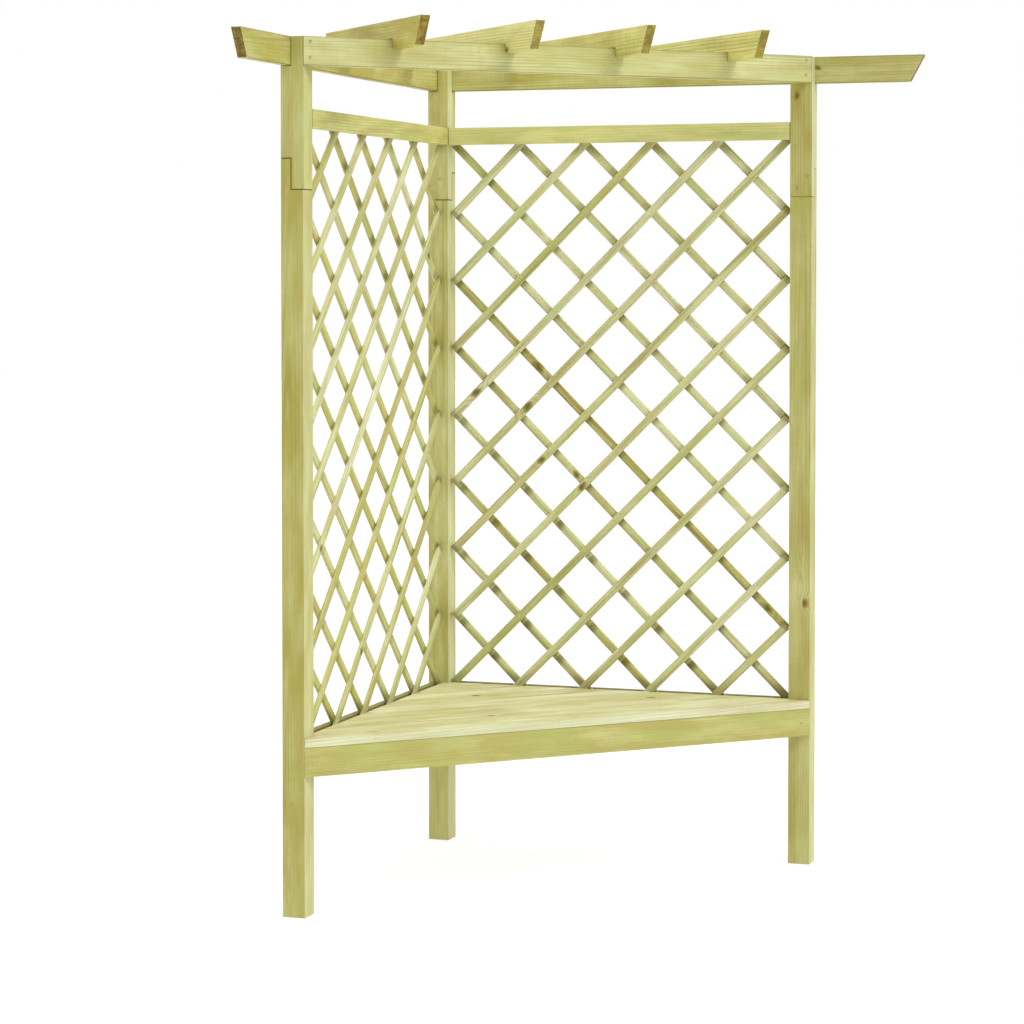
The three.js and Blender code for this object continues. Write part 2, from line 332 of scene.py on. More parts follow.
@dataclass(frozen=True)
class LathPaintedShade:
    """Painted shade on laths: beside their crossings, at their tips and towards the rails, where shade falls.
    """

    colour: Triple = srgb(112, 102, 36)
    before: Band = (0.76, 0.93)
    after: Band = (0.2, 0.08)
    after_share: float = 0.4
    tip: Band = (16 * MM, 5 * MM)
    tip_share: float = 0.85
    rail: Band = (0.94, 0.99)
    rail_share: float = 0.4
    rail_inner_share: float = 0.5
    share: float = 0.7
    blotch_share: float = 1.2

    def spread(self, sheet: Sheet, blotch: Wire) -> Wire:
        """Finds how deep the painted shade is.

        Args:
            sheet: The material's nodes.
            blotch: The wood's blotches, about zero.

        Returns:
            The share of the painted shade's colour.
        """
        # Painted shade: darker just before each crossing and fainter after it on the outer laths' inner
        # faces, and darker near the tips and towards the rails.
        pitches, inner, _ = sheet.split(sheet.attribute("crossing"))
        along, half, height = sheet.split(sheet.attribute("edge"))
        turn = sheet.math("FRACT", pitches)
        beside = sheet.most(sheet.ramp(turn, *self.before), sheet.ramp(turn, *self.after) * self.after_share)
        tip = sheet.ramp(half - abs(along), *self.tip) * self.tip_share
        rail = sheet.ramp(abs(height), *self.rail) * (inner * self.rail_inner_share + self.rail_share)
        return sheet.most(beside * inner, sheet.most(tip, rail)) * (blotch * self.blotch_share + self.share)


@dataclass(frozen=True)
class TreatedPine:
    """Planed softwood with a green pressure treatment.

    The grain attribute of a piece holds each point's place along the timber and from the
    heart of the tree, so one finish gives straight grain, cathedrals and ringed ends.
    """

    pale: Triple = srgb(220, 218, 150)
    deep: Triple = srgb(182, 171, 82)
    green: Triple = srgb(180, 193, 96)
    warm: Triple = srgb(170, 138, 76)
    latewood: Triple = srgb(148, 134, 54)
    # The pale colour of paler timbers, of worn edges and of painted light on lit faces.
    bleached: Triple = srgb(236, 234, 190)
    rim: Triple = srgb(146, 124, 52)
    heart: Triple = srgb(108, 84, 32)
    end: Triple = srgb(142, 116, 46)
    end_dark: Triple = srgb(94, 74, 22)
    # The colour of dark seams and of painted shade in the gap by the seat.
    gap: Triple = srgb(84, 68, 12)
    # Painted shade on the laths, where the wood has it.
    stain: LathPaintedShade | None = None
    wander: Pattern = Pattern((1.7, 15, 15), 2)
    strong_rings: Pattern = Pattern((2.2, 24, 24), 1, 0.35, 0.7)
    fibre: Pattern = Pattern((16, 520, 520), 3, 0.62, 0.3)
    streak: Pattern = Pattern((4.5, 85, 85), 3, 0.47, 0.68)
    blotch: Pattern = Pattern((6, 22, 22), 3)
    cloud: Pattern = Pattern((5, 28, 28), 2, 0.45, 0.62)
    sawn: Pattern = Pattern((2, 12, 12), 1, 0.45, 0.6)
    saw: Pattern = Pattern((85, 7, 7), 2, 0.62, 0.4)
    fleck: Pattern = Pattern((70, 260, 260), 1, 0.74, 0.8)
    mottle: Pattern = Pattern((40, 65, 65), 3, 0.38, 0.6)
    ragged: Pattern = Pattern((70, 120, 120), 2)
    pin_scale: Triple = (4.2, 13, 13)
    pin_band: Band = (0.09, 0.04)
    pin_rarity: float = 0.72
    swirl_band: Band = (3.4, 0.5)
    rim_band: Band = (1.3, 0.85)
    heart_band: Band = (0.85, 0.3)
    late_band: Band = (-0.1, 0.95)
    ragged_reach: float = 1.3
    wander_reach: float = 16 * MM
    knot_pull: float = 8 * MM
    ring: float = 6.5 * MM
    ring_share: float = 0.34
    faint_rings: float = 0.3
    end_rings: float = 1.2
    blotch_share: float = 2.0
    fibre_share: float = 0.16
    saw_share: float = 0.06
    green_share: float = 0.4
    fleck_share: float = 0.5
    rim_share: float = 0.7
    heart_share: float = 0.75
    end_share: float = 0.78
    end_tone_share: float = 0.2
    roughness: float = 0.5
    fibre_roughness: float = 0.16
    end_roughness: float = 0.2
    dark_roughness: float = 0.4
    specular: float = 0.3
    relief: float = 0.35 * MM
    relief_strength: float = 0.55
    fibre_height: float = 0.6
    late_height: float = 0.25
    saw_height: float = 0.35
    rim_height: float = -0.3

    def find_knots(self, sheet: Sheet, grain: Wire) -> tuple[Wire, Wire, Wire]:
        """Finds the knots.

        Args:
            sheet: The material's nodes.
            grain: The place in the timber.

        Returns:
            How near the grain is to a knot, the knots' dark rims and their hearts.
        """
        ragged = sheet.swing(grain, self.ragged) * self.ragged_reach
        pull, rim, heart = 0.0, 0.0, 0.0
        for name in KNOT_NAMES:
            place = {0: sheet.attribute(name)}
            reach = sheet.wire("ShaderNodeVectorMath", place, "Value", operation="LENGTH")
            pull = sheet.ramp(reach, *self.swirl_band) + pull
            rim = sheet.most(rim, sheet.ramp(reach + ragged, *self.rim_band))
            heart = sheet.most(heart, sheet.ramp(reach + ragged, *self.heart_band))
        place = sheet.stretched(grain, self.pin_scale)
        cells = sheet.node("ShaderNodeTexVoronoi", {"Vector": place, "Scale": 1.0}).outputs
        drawn = sheet.wire("ShaderNodeSeparateColor", {0: Wire(sheet, cells["Color"])})
        pin = sheet.math("GREATER_THAN", drawn, self.pin_rarity)
        return pull, sheet.most(rim, pin * sheet.ramp(Wire(sheet, cells["Distance"]), *self.pin_band)), heart

    def paint(self, sheet: Sheet) -> dict[str, Any]:
        """Adds the wood's nodes.

        Args:
            sheet: The material's nodes.

        Returns:
            What each of the shader's inputs takes.
        """
        grain = sheet.attribute("grain")
        _, across, rise = sheet.split(grain)
        tone, warmth, paleness = sheet.split(sheet.attribute("tint"))
        # face_kind holds end faces; paler faces, which are worn edges and painted light on lit faces; and
        # dark faces, which are seams and painted shade in the gap by the seat.
        ends, worn, dark = sheet.split(sheet.attribute("face_kind"))
        pull, rim, heart = self.find_knots(sheet, grain)

        radius = sheet.reach(across, rise) + sheet.swing(grain, self.wander) * self.wander_reach
        turns = (radius + pull * self.knot_pull) / self.ring
        late = sheet.ramp(sheet.math("SINE", turns * math.tau), *self.late_band)
        rings = late * ((sheet.patches(grain, self.strong_rings) + self.faint_rings) * self.ring_share)
        fibre = sheet.noise(grain, self.fibre)
        saw = sheet.noise(grain, self.saw)
        blotch = sheet.swing(grain, self.blotch)
        sawn = sheet.ramp(saw, self.saw.start, self.saw.full) * sheet.patches(grain, self.sawn)
        end_grain = sheet.blend(sheet.patches(grain, self.mottle), self.end, self.end_dark)
        layers = [
            (sheet.patches(grain, self.cloud) * self.green_share, self.green),
            (sheet.patches(grain, self.streak) * warmth, self.warm),
            ((ends * (tone * self.end_tone_share + self.end_share)).held(), end_grain),
            ((rings * (ends * self.end_rings + 1.0)).held(), self.latewood),
            (sheet.ramp(fibre, self.fibre.start, self.fibre.full) * self.fibre_share, self.latewood),
            (sawn * self.saw_share, self.latewood),
            (paleness * (1.0 - ends), self.bleached),
            # Worn edges, and painted light on lit faces.
            (worn, self.bleached),
            (sheet.patches(grain, self.fleck) * self.fleck_share, self.rim),
            (rim * self.rim_share, self.rim),
            (heart * self.heart_share, self.heart),
        ]
        # Lays the laths' painted shade.
        if self.stain:
            layers.append((self.stain.spread(sheet, blotch), self.stain.colour))
        # Dark seams, and painted shade in the gap by the seat.
        layers.append((dark, self.gap))
        colour = sheet.blend((blotch * self.blotch_share + tone).held(), self.pale, self.deep)
        for share, over in layers:
            colour = sheet.blend(share, colour, over)

        height = fibre * self.fibre_height + late * self.late_height
        height = height + saw * self.saw_height + rim * self.rim_height
        rough = (fibre - NOISE_MIDDLE) * self.fibre_roughness + ends * self.end_roughness
        rough = rough + self.roughness + sheet.most(dark, heart) * self.dark_roughness
        return {
            "Base Color": colour, "Roughness": rough.held(), "Specular IOR Level": self.specular,
            "Normal": sheet.bump(height, self.relief, self.relief_strength),
        }


@dataclass(frozen=True)
class PassivatedSteel:
    """Yellowish zinc on screws and staples."""

    bright: Triple = srgb(230, 220, 156)
    dull: Triple = srgb(158, 148, 92)
    cloud: Pattern = Pattern((420, 420, 420), 3, 0.35, 0.65)
    metallic: float = 0.3
    roughness: float = 0.32
    cloud_roughness: float = 0.25
    relief: float = 0.05 * MM
    relief_strength: float = 0.3

    def paint(self, sheet: Sheet) -> dict[str, Any]:
        """Adds the steel's nodes.

        Args:
            sheet: The material's nodes.

        Returns:
            What each of the shader's inputs takes.
        """
        cloud = sheet.noise(sheet.wire("ShaderNodeTexCoord", output="Object"), self.cloud)
        dullness = sheet.ramp(cloud, self.cloud.start, self.cloud.full)
        return {
            "Base Color": sheet.blend(dullness, self.bright, self.dull), "Metallic": self.metallic,
            "Roughness": cloud * self.cloud_roughness + self.roughness,
            "Normal": sheet.bump(cloud, self.relief, self.relief_strength),
        }


WOODS = {
    Wood.POST: TreatedPine(
        warm=srgb(176, 152, 82), streak=Pattern((3, 34, 34), 3, 0.47, 0.68), ring_share=0.28,
        green_share=0.2,
    ),
    Wood.BEAM: TreatedPine(saw_share=0.07, green_share=0.25),
    Wood.RAFTER: TreatedPine(
        pale=srgb(234, 228, 138), deep=srgb(182, 170, 66), end=srgb(168, 142, 46),
        end_dark=srgb(112, 82, 24), saw_share=0.1,
    ),
    Wood.RAIL: TreatedPine(pale=srgb(228, 224, 144), ring_share=0.24),
    # The laths carry painted shade at their crossings, their tips and the rails.
    Wood.LATH: TreatedPine(
        pale=srgb(233, 232, 180), deep=srgb(196, 190, 108), green=srgb(190, 202, 112),
        end=srgb(128, 104, 42), end_dark=srgb(86, 66, 22), rim=srgb(140, 122, 52),
        heart=srgb(104, 90, 36), ring=5 * MM, fibre_share=0.2, stain=LathPaintedShade(),
    ),
    Wood.BOARD: TreatedPine(pale=srgb(228, 226, 176), green=srgb(200, 206, 134), warm=srgb(186, 156, 104)),
}


@dataclass(frozen=True)
class Knot:
    """A knot in a timber: its middle in the frame, its radius and the way its branch runs.

    A knot that is buried, by so many radii, shows only in the grain that swirls over it.
    """

    middle: Triple
    radius: float
    branch: Triple
    buried: float = 0.0


@dataclass(frozen=True)
class Tint:
    """How a timber differs from the next: its depth, its brown streaks and its paleness."""

    tone: float = 0.5
    warm: float = 0.2
    pale: float = 0.0


def write_attribute(mesh: Mesh, name: str, domain: str, values: list[float]) -> None:
    """Writes a vector attribute, as a flat list, on a mesh's POINT or FACE elements."""
    mesh.attributes.new(name, "FLOAT_VECTOR", domain).data.foreach_set("vector", values)


def stand_in(mesh: Mesh, node: str) -> bpy.types.Object:
    """Puts a finished mesh in the scene.

    Args:
        mesh: The finished mesh, in the frame.
        node: The node that it replaces, or nothing where it adds to them.

    Returns:
        The piece.
    """
    piece = bpy.data.objects.new(mesh.name, mesh)
    bpy.context.scene.collection.objects.link(piece)
    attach(piece, BODY)
    if node:
        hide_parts(node)
    log.info("%s: %d faces", piece.name, len(mesh.polygons))
    return piece


class Neighbours:
    """Knows where every node's solid lies, to find the seams between them."""

    reach = 1.3 * MM

    def __init__(self) -> None:
        """Builds a search tree of each node's solid."""
        self.solids: dict[str, tuple[BVHTree, Vector, Vector]] = {}
        margin = Vector((self.reach,) * 3)
        for name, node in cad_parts.items():
            plan = bmesh.new()
            plan.from_mesh(node.data)
            low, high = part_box(name)
            self.solids[name] = (BVHTree.FromBMesh(plan), low - margin, high + margin)
            plan.free()

    def touch(self, name: str, place: Vector) -> bool:
        """Looks for another node's solid right beside a point of this one.

        Args:
            name: This node's name.
            place: The point.

        Returns:
            Whether one lies there.
        """
        for other, (tree, low, high) in self.solids.items():
            near = other != name and all(low[axis] <= place[axis] <= high[axis] for axis in range(3))
            if near and tree.find_nearest(place, self.reach)[0] is not None:
                return True
        return False


@dataclass
class Timber:
    """One timber: a planed copy of its node, with eased edges and its own run of grain."""

    node: str
    run: Run
    tint: Tint = Tint()
    ease: float = 1.3 * MM
    seam: float = 0.75
    knots: tuple[Knot, ...] = ()
    # Painted light: faces turned along this way are painted paler by this share, as lit faces.
    sap: float = 0.0
    lit_face_way: Triple = (1.0, 0.0, 0.0)
    # Painted shade: faces turned along this way are painted darker by this share, as in the shaded gap by the
    # seat.
    damp: float = 0.0
    damp_way: Triple = (0.0, 0.0, 1.0)
    wear: float = 0.15
    weld: float = 0.01 * MM
    flat: float = math.radians(0.5)
    sharp: float = math.radians(20)
    small_face: float = 1.5e-4
    shortest_eases: float = 6.0
    widest_eases: float = 1.2
    roundness: float = 0.55
    end_turn: float = 0.55
    lit_face_turn: float = 0.8
    damp_turn: float = 0.5
    far: float = 90.0
    knot_stretch: float = 0.7
    branch_fade: float = 0.05
    heart_across: Band = (-0.015, 0.015)
    heart_rise: Band = (0.02, 0.05)
    tilt_across: Band = (-0.012, 0.012)
    tilt_rise: Band = (-0.025, 0.025)
    start: Band = (0.0, 40.0)

    def shape(self) -> tuple[Mesh, set[int]]:
        """Copies the node's solid, closes it and eases its long edges.

        Returns:
            The mesh, and the indices of its eased faces.
        """
        plan = bmesh.new()
        plan.from_mesh(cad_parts[self.node].data)
        bmesh.ops.remove_doubles(plan, verts=plan.verts, dist=self.weld)
        bmesh.ops.dissolve_limit(plan, angle_limit=self.flat, verts=plan.verts, edges=plan.edges)
        edges = [
            edge for edge in plan.edges
            if len(edge.link_faces) == 2
            and edge.calc_face_angle() > self.sharp
            and edge.calc_length() > self.shortest_eases * self.ease
            and min(face.calc_area() for face in edge.link_faces) > self.small_face
        ]
        eased = bmesh.ops.bevel(plan, geom=edges, offset=self.ease, segments=2, profile=self.roundness,
                                affect="EDGES", clamp_overlap=True)
        widest = self.widest_eases * self.ease
        worn = [face for face in eased["faces"]
                if face.calc_area() < widest * max(edge.calc_length() for edge in face.edges)]
        plan.faces.index_update()
        marked = {face.index for face in worn}
        mesh = bpy.data.meshes.new(f"{self.node}_wood")
        plan.to_mesh(mesh)
        plan.free()
        return mesh, marked

    def write_grain(self, mesh: Mesh) -> None:
        """Writes where each point lies in its timber, which has its own place in its tree, and its knots.

        Args:
            mesh: The timber's mesh.
        """
        draw = random.Random(self.node)
        along, across, rise = self.run.triad()
        middle = sum(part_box(self.node), Vector()) / 2
        heart_across = draw.uniform(*self.heart_across)
        heart_rise = draw.uniform(*self.heart_rise) * draw.choice((-1, 1))
        tilt_across = draw.uniform(*self.tilt_across)
        tilt_rise = draw.uniform(*self.tilt_rise)
        start = draw.uniform(*self.start)
        grain: list[float] = []
        for vertex in mesh.vertices:
            place = vertex.co - middle
            run = place.dot(along)
            grain += [start + run, place.dot(across) - heart_across + run * tilt_across,
                      place.dot(rise) - heart_rise + run * tilt_rise]
        write_attribute(mesh, "grain", "POINT", grain)
        missing = (None,) * (len(KNOT_NAMES) - len(self.knots))
        for name, knot in zip(KNOT_NAMES, self.knots + missing):
            write_attribute(mesh, name, "POINT", self.knot_field(mesh, knot, along))

    def knot_field(self, mesh: Mesh, knot: Knot | None, along: Vector) -> list[float]:
        """Measures every point from a knot's branch, in knot radii.

        Args:
            mesh: The timber's mesh.
            knot: The knot, if the timber has one.
            along: The way the grain runs.

        Returns:
            A flat list of vectors, far away where there is no knot.
        """
        if knot is None:
            return [self.far] * (3 * len(mesh.vertices))
        branch = Vector(knot.branch).normalized()
        square = along.cross(branch).normalized()
        values: list[float] = []
        for vertex in mesh.vertices:
            place = (vertex.co - Vector(knot.middle)) / knot.radius
            values += [place.dot(along) * self.knot_stretch, place.dot(square),
                       place.dot(branch) * self.branch_fade + knot.buried]
        return values

    def write_faces(self, mesh: Mesh, worn: set[int], neighbours: Neighbours) -> None:
        """Writes which faces are ends, eased edges and seams, which are painted paler as painted light, and
        which darker as painted shade.

        Args:
            mesh: The timber's mesh.
            worn: The indices of its eased faces.
            neighbours: Finds the other timbers.
        """
        along, lit_face_way, damp_way = (Vector(way) for way in (self.run.value, self.lit_face_way, self.damp_way))
        touching = [neighbours.touch(self.node, vertex.co) for vertex in mesh.vertices]
        kinds: list[float] = []
        for face in mesh.polygons:
            eased = face.index in worn
            shut = eased and sum(touching[v] for v in face.vertices) * 2 >= len(face.vertices)
            end = abs(face.normal.dot(along)) > self.end_turn and not eased
            # Faces turned to the light are painted paler, as painted light; eased edges are paler with wear.
            wear_and_painted_light = self.sap * (face.normal.dot(lit_face_way) > self.lit_face_turn) + self.wear * (eased and not shut)
            # Seams are dark; faces turned into the gap by the seat are painted darker, as painted shade.
            dark = max(self.seam * shut, self.damp * (face.normal.dot(damp_way) > self.damp_turn))
            kinds += [float(end), wear_and_painted_light, dark]
        write_attribute(mesh, "face_kind", "FACE", kinds)

    def build(self, wood: Wood, material: Material, neighbours: Neighbours) -> bpy.types.Object:
        """Makes the timber and lets it stand for its node.

        Args:
            wood: The kind of wood; not used.
            material: Its finish.
            neighbours: Finds the other timbers.

        Returns:
            The finished piece.
        """
        mesh, worn = self.shape()
        self.write_grain(mesh)
        self.write_faces(mesh, worn, neighbours)
        tint = [self.tint.tone, self.tint.warm, self.tint.pale]
        write_attribute(mesh, "tint", "POINT", tint * len(mesh.vertices))
        mesh.materials.append(material)
        return stand_in(mesh, self.node)


@dataclass
class Workshop:
    """What every part of the arbour is made with: the finishes and the other timbers' places."""

    woods: dict[Wood, Material] = field(
        default_factory=lambda: {wood: finish(wood.value, pine.paint) for wood, pine in WOODS.items()})
    steel: Material = field(default_factory=lambda: finish(STEEL, PassivatedSteel().paint))
    neighbours: Neighbours = field(default_factory=Neighbours)

    def make(self, wood: Wood, timbers: list[Timber]) -> None:
        """Makes timbers of one kind."""
        for timber in timbers:
            timber.build(wood, self.woods[wood], self.neighbours)


@dataclass
class Posts:
    """The three posts, each of a lower and an upper timber."""

    shop: Workshop
    right_seam: float = 0.25

    def post(self, name: str, tint: Tint, sap: float, *knots: Knot) -> Timber:
        """Describes one of the six timbers."""
        seam = self.right_seam if name.startswith("right") else Timber.seam
        return Timber(f"post_{name}", Run.UP, tint, knots=knots, sap=sap, seam=seam)

    def build(self) -> None:
        """Makes the six timbers."""
        low_knot = Knot((0.376, POST_FACE, 0.626), 8 * MM, (0.1, -1.0, 0.2))
        low_swirl = Knot((0.352, POST_FACE, 0.71), 12 * MM, (0.1, -1.0, 0.1), buried=1.5)
        high_knot = Knot((0.352, POST_FACE, 1.836), 6.5 * MM, (0.1, -1.0, 0.3))
        # The third number of each post paints its east faces paler, as painted light.
        self.shop.make(Wood.POST, [
            self.post("front_lower", Tint(0.78, 0.3), 0.17),
            self.post("front_upper", Tint(0.62, 0.15), 0.06),
            self.post("corner_lower", Tint(0.5, 0.3), 0.19),
            self.post("corner_upper", Tint(0.38, 0.3), 0.2),
            self.post("right_lower", Tint(0.6, 0.25), 0.0, low_knot, low_swirl),
            self.post("right_upper", Tint(0.75, 0.3), 0.32, high_knot),
        ])


@dataclass
class Roof:
    """The three beams and the rafters notched over them."""

    shop: Workshop
    rafter_tints: tuple[Tint, ...] = (
        Tint(0.9, 0.6), Tint(0.0, 0.1, 0.16), Tint(0.25, 0.25), Tint(0.28, 0.2),
    )

    def build(self) -> None:
        """Makes the beams and the rafters."""
        knot = Knot((0.395, 0.558, 1.902), 6 * MM, (0.1, -1.0, 0.1))
        knots = {2: (Knot((-0.1775, -0.0488, 1.9135), 6 * MM, (-1.0, -1.0, 0.1)),)}
        self.shop.make(Wood.BEAM, [
            Timber("beam_left", Run.ALONG_LEFT, Tint(0.8, 0.35)),
            Timber("beam_back", Run.ALONG_BACK, Tint(0.5, 0.3), knots=(knot,)),
            Timber("beam_front", Run.ACROSS_FRONT, Tint(0.42, 0.15, 0.05)),
        ])
        self.shop.make(Wood.RAFTER, [
            Timber(f"rafter_{number}", Run.TO_CORNER, tint, knots=knots.get(number, ()))
            for number, tint in enumerate(self.rafter_tints, start=1)
        ])


@dataclass
class Rails:
    """The top rails, the foot rails and the seat's rails."""

    shop: Workshop
    # Painted shade on the foot rails' inner and top faces, in the gap by the seat.
    damp: float = 0.55

    def build(self) -> None:
        """Makes every rail."""
        swirl = Knot((-POST_FACE, 0.264, 1.7555), 11 * MM, (1.0, 0.1, 0.1), buried=1.5)
        plain, foot = Tint(0.5, 0.3), Tint(0.8, 0.3)
        self.shop.make(Wood.RAIL, [
            Timber("top_rail_left", Run.ALONG_LEFT, plain, knots=(swirl,)),
            Timber("top_rail_back", Run.ALONG_BACK, Tint(0.0, 0.05, 0.06)),
            # The foot rails' inner and top faces are painted darker, as painted shade.
            Timber("foot_rail_left", Run.ALONG_LEFT, foot, damp=self.damp, damp_way=(0.8, 0.0, 0.6)),
            Timber("foot_rail_back", Run.ALONG_BACK, foot, damp=self.damp, damp_way=(0.0, -0.8, 0.6)),
            Timber("seat_rail_left", Run.ALONG_LEFT, plain),
            Timber("seat_rail_back", Run.ALONG_BACK, plain),
            Timber("seat_rail_front", Run.ACROSS_FRONT, Tint(0.95, 0.1, 0.05)),
            Timber("seat_rail_middle", Run.TO_CORNER, Tint(0.6, 0.2)),
        ])


@dataclass
class Seat:
    """The boards across the corner, front board first."""

    shop: Workshop
    tints: tuple[Tint, ...] = (
        Tint(0.42, 0.45, 0.05), Tint(0.45, 0.5), Tint(0.52, 0.35), Tint(0.3, 0.5, 0.05),
        Tint(0.55, 0.45), Tint(0.25, 0.2), Tint(0.5, 0.3), Tint(0.35, 0.3),
    )
    ease: float = 1.0 * MM
    seam: float = 0.3
    # Painted light: the boards' front edges are painted paler, as lit faces.
    sap: float = 0.38

    def build(self) -> None:
        """Makes the boards."""
        knots = {
            2: (Knot((-0.256, 0.062, 0.395), 6 * MM, (0.1, 0.1, 1.0)),),
            3: (Knot((0.016, 0.452, 0.395), 9 * MM, (0.1, 0.1, 1.0)),),
            5: (Knot((-0.393, 0.347, 0.395), 9 * MM, (0.1, 0.1, 1.0)),),
        }
        self.shop.make(Wood.BOARD, [
            Timber(f"seat_board_{number}", Run.ACROSS_FRONT, tint, ease=self.ease, seam=self.seam,
                   knots=knots.get(number, ()), sap=self.sap, lit_face_way=Facing.FRONT.value)
            for number, tint in enumerate(self.tints, start=1)
        ])


class GeometryTree(Sheet):
    """A tree of geometry nodes with named inputs."""

    material = "Material"

    def __init__(self, name: str, floats: tuple[str, ...], wholes: tuple[str, ...] = ()) -> None:
        """Starts a tree.

        Args:
            name: The tree's name.
            floats: The names of the inputs that take any number.
            wholes: The names of the inputs that take whole numbers.
        """
        super().__init__(bpy.data.node_groups.new(name, "GeometryNodeTree"))
        kinds = dict.fromkeys(floats, "NodeSocketFloat") | dict.fromkeys(wholes, "NodeSocketInt")
        kinds[self.material] = "NodeSocketMaterial"
        for label, kind in kinds.items():
            self.tree.interface.new_socket(label, in_out="INPUT", socket_type=kind)
        self.tree.interface.new_socket("Geometry", in_out="OUTPUT", socket_type="NodeSocketGeometry")
        outputs = self.node("NodeGroupInput").outputs
        self.given = {label: Wire(self, outputs[label]) for label in kinds}

    def end(self, shape: Wire) -> NodeTree:
        """Ends the tree with real geometry in its material.

        Args:
            shape: The geometry so far.

        Returns:
            The finished tree.
        """
        real = self.wire("GeometryNodeRealizeInstances", {"Geometry": shape})
        dress = {"Geometry": real, "Material": self.given[self.material]}
        self.node("NodeGroupOutput", {0: self.wire("GeometryNodeSetMaterial", dress)})
        return self.tree

    def position(self) -> Wire:
        """Reads each point's own place."""
        return self.wire("GeometryNodeInputPosition")

    def line(self, start: Triple, end: Triple) -> Wire:
        """Makes a straight line."""
        return self.wire("GeometryNodeCurvePrimitiveLine", {"Start": start, "End": end})

    def unit_line(self, steps: int = 9) -> Wire:
        """Makes a line of unit length along X, in equal steps."""
        line = self.line((-0.5, 0.0, 0.0), (0.5, 0.0, 0.0))
        return self.wire("GeometryNodeResampleCurve", {"Curve": line, "Count": steps})

    def sweep(self, path: Wire, section: Wire, **more: Any) -> Wire:
        """Runs a section along a path and closes its ends."""
        inputs = {"Curve": path, "Profile Curve": section, "Fill Caps": True, **more}
        return self.wire("GeometryNodeCurveToMesh", inputs)

    def tell(self, shape: Wire, name: str, value: Wire, domain: str) -> Wire:
        """Stores a vector under a name on a shape's points or instances."""
        inputs = {"Geometry": shape, "Name": name, "Value": value}
        return self.wire("GeometryNodeStoreNamedAttribute", inputs, data_type="FLOAT_VECTOR", domain=domain)


def grow(name: str, tree: NodeTree, part: Any, more: dict[str, Any]) -> Mesh:
    """Runs a geometry tree and keeps the result as a plain mesh.

    Args:
        name: The mesh's name.
        tree: The geometry tree.
        part: What it is for. Its fields set the inputs of the same names.
        more: What the other inputs are set to, by name.

    Returns:
        The finished mesh.
    """
    values = {label.replace("_", " ").title(): value for label, value in vars(part).items()} | more
    bare = bpy.data.meshes.new(name)
    holder = bpy.data.objects.new(name, bare)
    bpy.context.scene.collection.objects.link(holder)
    modifier = holder.modifiers.new("shape", "NODES")
    modifier.node_group = tree
    for item in tree.interface.items_tree:
        if item.in_out == "INPUT":
            modifier[item.identifier] = values[item.name]
    graph = bpy.context.evaluated_depsgraph_get()
    grown = holder.evaluated_get(graph)
    mesh = bpy.data.meshes.new_from_object(grown, preserve_all_data_layers=True, depsgraph=graph)
    holder.modifiers.remove(modifier)
    bpy.data.objects.remove(holder)
    bpy.data.meshes.remove(bare)
    mesh.name = name
    return mesh


class GridTree(GeometryTree):
    """A geometry tree over the crossings of a lattice, in the XZ plane."""

    def __init__(self, name: str, *floats: str) -> None:
        """Starts the tree and works out the lattice's pitches and its laths to a layer.

        Args:
            name: The tree's name.
            *floats: Its own inputs that take any number.
        """
        floats = ("Span", "Inset", "Foot", "Head", "Depth", *floats)
        super().__init__(name, floats, ("Columns", "Rows", "Seed"))
        given = self.given
        self.rows, self.columns = given["Rows"], given["Columns"]
        self.column_pitch = (given["Span"] - given["Inset"] * 2.0) / self.columns
        self.row_pitch = (given["Head"] - given["Foot"]) / self.rows
        self.laths = self.rows + self.columns - 1.0
        self.index = self.wire("GeometryNodeInputIndex")

    def spot(self, column: Wire, row: Wire) -> tuple[Wire, Wire]:
        """Gives the X and Z of a crossing."""
        return column * self.column_pitch + self.given["Inset"], row * self.row_pitch + self.given["Foot"]

    def chance(self, *limits: Wire) -> Wire:
        """Draws a vector for each point, between 0 and 1 or the least and the most given."""
        inputs = {"Seed": self.given["Seed"], "ID": self.index, **dict(enumerate(limits))}
        return self.wire("FunctionNodeRandomValue", inputs, data_type="FLOAT_VECTOR")

    def lay(self, shape: Wire, count: Wire, x: Wire, z: Wire, **more: Wire) -> Wire:
        """Lays copies of a shape on points of the XZ plane.

        Args:
            shape: The shape.
            count: How many points there are.
            x: The X of each.
            z: The Z of each.
            **more: The copies' other inputs, such as their turn.

        Returns:
            The copies.
        """
        spots = {"Count": count, "Position": self.vector(x, self.given["Depth"], z)}
        points = self.wire("GeometryNodePoints", spots)
        return self.wire("GeometryNodeInstanceOnPoints", {"Points": points, "Instance": shape, **more})


